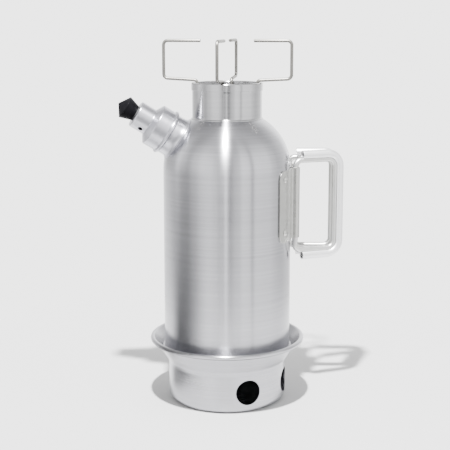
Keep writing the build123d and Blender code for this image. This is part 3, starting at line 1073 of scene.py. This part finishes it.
def sleeve_section(shift):
    """C-shaped section of the slotted sleeve: local +x is the slot's side, where the wire sits."""
    edges = []
    for radius in (SLEEVE_RADIUS, SLEEVE_RADIUS - SLEEVE_SHEET):
        meet = (radius**2 - LEG_BORE**2 + shift**2) / (2 * shift)
        edges.append((radius, degrees(atan2(sqrt(radius**2 - meet**2), meet)) + SLEEVE_LIP_ANGLE))
    (outer, outer_edge), (inner, inner_edge) = edges
    skin = arc((0, 0), outer, outer_edge, 360 - outer_edge, steps=44)
    return skin + arc((0, 0), inner, 360 - inner_edge, inner_edge, steps=36)


def make_wing(name, side):
    hinge = radians(HINGE_BEARING)
    origin = Vector((HINGE_RADIUS * cos(hinge), side * HINGE_RADIUS * sin(hinge), 0))
    wire_top = HANDLE_TOP - HANDLE_DEPTH + WIRE_RADIUS
    wire_bottom = HANDLE_BOTTOM + HANDLE_DEPTH - WIRE_RADIUS
    wire_reach = WING_REACH - HANDLE_DEPTH + WIRE_RADIUS
    shift = HANDLE_DEPTH - WIRE_RADIUS - SLEEVE_RADIUS
    sleeve_reach = wire_reach + shift
    across = (origin.y * side - (2 * SLEEVE_RADIUS + WING_GAP) / 2) / sleeve_reach
    outward = Vector((sqrt(1 - across**2), -side * across, 0))
    middle = (BRACKET_BOTTOM + BRACKET_TOP) / 2
    plane = (origin, outward)
    path = bent_path([
        (0, middle + LEG_GAP / 2, 0),
        (0, wire_top, HINGE_BEND),
        (wire_reach, wire_top, GRIP_BEND),
        (wire_reach, wire_bottom, GRIP_BEND),
        (0, wire_bottom, HINGE_BEND),
        (0, middle - LEG_GAP / 2, 0),
    ], plane)
    wire = sweep(f"wing_{name}_bar", path, circle(WIRE_RADIUS), outward, tip_round=0.5)
    dress(wire, HANDLE_METAL, f"wing_{name}", "handle_wire", f"wing_{name}_wire")
    path = bent_path([
        (SLEEVE_START, wire_top + shift, 0),
        (sleeve_reach, wire_top + shift, GRIP_BEND + shift),
        (sleeve_reach, wire_bottom - shift, GRIP_BEND + shift),
        (SLEEVE_START, wire_bottom - shift, 0),
    ], plane, arc_steps=18)
    sleeve = sweep(f"wing_{name}_grip", path, sleeve_section(shift), (0, 0, -1))
    wear_edges(sleeve, 0.15, SLEEVE_SHARP_ANGLE)
    dress(sleeve, SLEEVE_METAL, f"wing_{name}", "sleeve_aluminium", f"wing_{name}_sleeve")


# Pot support

def make_support(name, angle, tip, cross):
    path = bent_path([
        (tip, SUPPORT_TOP, 0),
        (SUPPORT_REACH, SUPPORT_TOP, SUPPORT_BEND),
        (SUPPORT_REACH, SUPPORT_ARM, SUPPORT_BEND),
        (SUPPORT_LEG, SUPPORT_RIM, RIM_BEND),
        (SUPPORT_LEG, cross, SUPPORT_BEND),
        (-SUPPORT_LEG, cross, SUPPORT_BEND),
        (-SUPPORT_LEG, SUPPORT_RIM, RIM_BEND),
        (-SUPPORT_REACH, SUPPORT_ARM, SUPPORT_BEND),
        (-SUPPORT_REACH, SUPPORT_TOP, SUPPORT_BEND),
        (-tip, SUPPORT_TOP, 0),
    ], (Vector((0, 0, 0)), direction_at(angle)))
    wire = sweep(f"{name}_bar", path, circle(SUPPORT_RADIUS, 24), (0, 0, 1), tip_round=0.35)
    dress(wire, SUPPORT_METAL, "pot_support", "support_steel", name)


make_base()
make_jacket()
make_foot_ring()
make_flue()
make_neck()
make_spout_foot()
make_spout_pipe()
make_cap()
make_stopper()
make_bracket()
make_rivets()
make_wing("front", -1)
make_wing("rear", 1)
make_support("support_wire_side", SUPPORT_TURN, SIDE_TIP, SUPPORT_CROSS)
make_support("support_wire_fore", SUPPORT_TURN + 90, FORE_TIP, SUPPORT_LOW_CROSS)
for node in ("cap_gasket", "stopper_washer", "rivet_seals"):
    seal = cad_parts[node]
    seal.data.materials.clear()
    seal.data.materials.append(RUBBER.data)


# Camera at the photograph's angle, in metres and degrees

CAMERA_BEARING = -10.0
CAMERA_DISTANCE = 0.9886
CAMERA_HEIGHT = 0.3543
CAMERA_PITCH = 9.47
CAMERA_FOCAL_PIXELS = 1057.9
CAMERA_SHIFT_X = -0.0047
CAMERA_SHIFT_Y = -0.05
IMAGE_SIZE = 450
SENSOR = 36.0


def camera_side(right, forward, up):
    """A place given as the camera sees it: to its right, away from it, and up from the floor."""
    turn = radians(CAMERA_BEARING)
    level_right = Vector((cos(turn), sin(turn), 0))
    level_forward = Vector((-sin(turn), cos(turn), 0))
    return level_right * right + level_forward * forward + Vector((0, 0, up))


def make_camera():
    data = bpy.data.cameras.new("camera")
    camera = new_object("camera", data)
    camera.location = camera_side(0, -CAMERA_DISTANCE, CAMERA_HEIGHT)
    camera.rotation_euler = (radians(90 - CAMERA_PITCH), 0, radians(CAMERA_BEARING))
    data.sensor_width = SENSOR
    data.lens = CAMERA_FOCAL_PIXELS / IMAGE_SIZE * SENSOR
    data.shift_x = CAMERA_SHIFT_X
    data.shift_y = CAMERA_SHIFT_Y
    data.clip_start = 0.01
    bpy.context.scene.camera = camera


# Floor and light, in metres and watts

PAPER_LIGHT = 3.6
KEY_SIDE = -0.040
KEY_FRONT = -0.40
KEY_HEIGHT = 1.00
KEY_SIZE = 0.04
KEY_POWER = 59
KEY_SHARE = 0.76
FLOOR_RADIUS = 0.44
FLOOR_SOLID_RADIUS = 0.30
FLOOR_WHITE = 0.62
FLAG_FOOT = 0.002
# Distance to the left, middle in depth, reach behind and before it, height, strength at foot and top
BODY_FLAG = (0.12, -0.033, (0.058, 0.17), 0.24, (0.98, 0.2))
BASE_FLAG = (0.085, -0.006, (0.035, 0.06), 0.05, (0.78, 0.6))
# Nothing of the floor and the flags shines
MATT = {"Roughness": 0.9, "Specular IOR Level": 0.0}


def make_floor():
    """Round sheet of pale paper. Its tone makes up for the lamp's falling off, and its edge fades."""
    bm = bmesh.new()
    bmesh.ops.create_circle(bm, cap_ends=True, segments=128, radius=FLOOR_RADIUS)
    floor = finish_mesh("floor", bm)
    made = new_material("paper", MATT)
    place = made.place()
    foot = camera_side(KEY_SIDE, KEY_FRONT, 0)
    ratio = made.times(made.vector_math("DISTANCE", place, foot), 1 / KEY_HEIGHT)
    spread = made.plus(made.times(ratio, ratio), 1.0)
    near = 1 + (foot.length / KEY_HEIGHT) ** 2
    key = made.times(made.math("POWER", spread, -2.0), KEY_SHARE * near**2)
    tone = made.math("DIVIDE", FLOOR_WHITE, made.plus(key, 1 - KEY_SHARE))
    colour = made.node("ShaderNodeCombineColor")
    made.put((tone, tone, tone), colour.inputs)
    made.join(colour.outputs[0], made.shader.inputs["Base Color"])
    fade = made.remap(made.vector_math("LENGTH", place), FLOOR_SOLID_RADIUS, FLOOR_RADIUS - 0.01)
    mix = made.node("ShaderNodeMixShader")
    clear = made.node("ShaderNodeBsdfTransparent")
    made.put((fade, made.shader.outputs[0], clear.outputs[0]), mix.inputs)
    made.join(mix.outputs[0], made.nodes["Material Output"].inputs["Surface"])
    floor.data.materials.append(made.data)


def make_key():
    data = bpy.data.lights.new("key", "AREA")
    data.size = KEY_SIZE
    data.energy = KEY_POWER
    new_object("key", data).location = camera_side(KEY_SIDE, KEY_FRONT, KEY_HEIGHT)


def make_flag(name, side, middle, reach, height, strength):
    """Dark soft-edged card that only mirror images show, as a dark stripe in the metal."""
    behind, before = reach
    low = camera_side(-side, middle - before, FLAG_FOOT)
    high = camera_side(-side, middle + behind, FLAG_FOOT)
    lift = Vector((0, 0, height))
    bm = bmesh.new()
    bm.faces.new([bm.verts.new(v) for v in (low, high, high + lift, low + lift)])
    flag = finish_mesh(name, bm)
    made = new_material("black card", MATT | {"Base Color": (0.01, 0.01, 0.01, 1)})
    depth, up = made.along_axes((camera_side(0, 1, 0), Vector((0, 0, 1))))
    past = made.math("SUBTRACT", depth, middle)
    shares = [made.math("DIVIDE", past, length) for length in (behind, -before)]
    off_middle = made.math("MAXIMUM", *shares)
    across = made.remap(off_middle, 1.0, 0.0)
    upwards = made.remap(up, height, 0.0, strength[1], strength[0])
    made.join(made.times(across, upwards), made.shader.inputs["Alpha"])
    flag.data.materials.append(made.data)
    flag.visible_camera = False
    flag.visible_diffuse = False
    flag.visible_shadow = False


# What the metal mirrors, as (angle from the camera to the right, brightness): low and higher up
LOW_STUDIO = (
    (-180, 2.6), (-140, 2.4), (-116, 1.7), (-100, 0.9), (-88, 0.55), (-76, 0.7), (-60, 1.0),
    (-45, 1.55), (-30, 1.75), (-20, 1.6), (-13, 0.9), (-6, 0.3), (-2, 1.7), (2, 0.3), (6, 0.15),
    (9, 0.8), (15, 1.2), (22, 1.4), (28, 1.9), (40, 1.85), (46, 0.8), (52, 1.85), (85, 1.8),
    (104, 1.5), (117, 1.4), (140, 1.7), (180, 2.4),
)
HIGH_STUDIO = (
    (-180, 2.9), (-155, 2.0), (-138, 1.2), (-122, 1.2), (-112, 1.5), (-100, 2.8), (-88, 1.9),
    (-76, 1.4), (-62, 2.2), (-45, 3.0), (-30, 2.8), (-22, 2.1), (-13, 1.0), (-6, 0.2), (-2, 2.0),
    (2, 0.3), (6, 0.15), (9, 0.9), (15, 1.7), (22, 2.1), (28, 3.1), (40, 2.9), (46, 1.4), (52, 2.9),
    (80, 2.7), (94, 1.9), (106, 1.5), (114, 1.6), (132, 2.0), (156, 3.4), (180, 2.9),
)
STUDIO_PEAK = 8.0
# Upward part of a direction, between -1 and 1: where low turns to high, and where it dims overhead
HORIZON = (-0.22, -0.06)
OVERHEAD = (0.3, 0.85)
OVERHEAD_DIM = 0.45


def make_world():
    """Pale behind the kettle; all round it soft panels with darker gaps, dimmer overhead."""
    world = bpy.data.worlds.new("studio")
    bpy.context.scene.world = world
    made = Nodes(world, "Background")
    direction = made.node("ShaderNodeTexCoord").outputs["Generated"]
    parts = [
        made.vector_math("DOT_PRODUCT", direction, axis)
        for axis in (camera_side(1, 0, 0), camera_side(0, -1, 0))
    ]
    turn = made.plus(made.times(made.math("ARCTAN2", *parts), 1 / (2 * pi)), 0.5)
    height = made.split(direction)[2]
    bands = []
    for stops in (LOW_STUDIO, HIGH_STUDIO):
        ramp = made.node("ShaderNodeValToRGB")
        ramp.color_ramp.interpolation = "EASE"
        elements = ramp.color_ramp.elements
        while len(elements) > 1:
            elements.remove(elements[-1])
        elements[0].position = 0
        for k, (angle, value) in enumerate(stops):
            element = elements[0] if k == 0 else elements.new(angle / 360 + 0.5)
            element.color = (*[value / STUDIO_PEAK] * 3, 1)
        made.join(turn, ramp.inputs["Fac"])
        bands.append(ramp.outputs["Color"])
    mirrored = made.node("ShaderNodeVectorMath", operation="SCALE")
    made.join(made.mix(made.remap(height, *HORIZON), *bands), mirrored.inputs[0])
    dimming = made.remap(height, *OVERHEAD, STUDIO_PEAK, STUDIO_PEAK * OVERHEAD_DIM)
    made.join(dimming, mirrored.inputs["Scale"])
    seen = made.node("ShaderNodeLightPath").outputs["Is Camera Ray"]
    paper = (PAPER_LIGHT, PAPER_LIGHT, PAPER_LIGHT * 0.995, 1)
    made.join(made.mix(seen, mirrored.outputs[0], paper), made.shader.inputs["Color"])


make_camera()
make_floor()
make_world()
make_flag("body_flag", *BODY_FLAG)
make_flag("base_flag", *BASE_FLAG)
make_key()
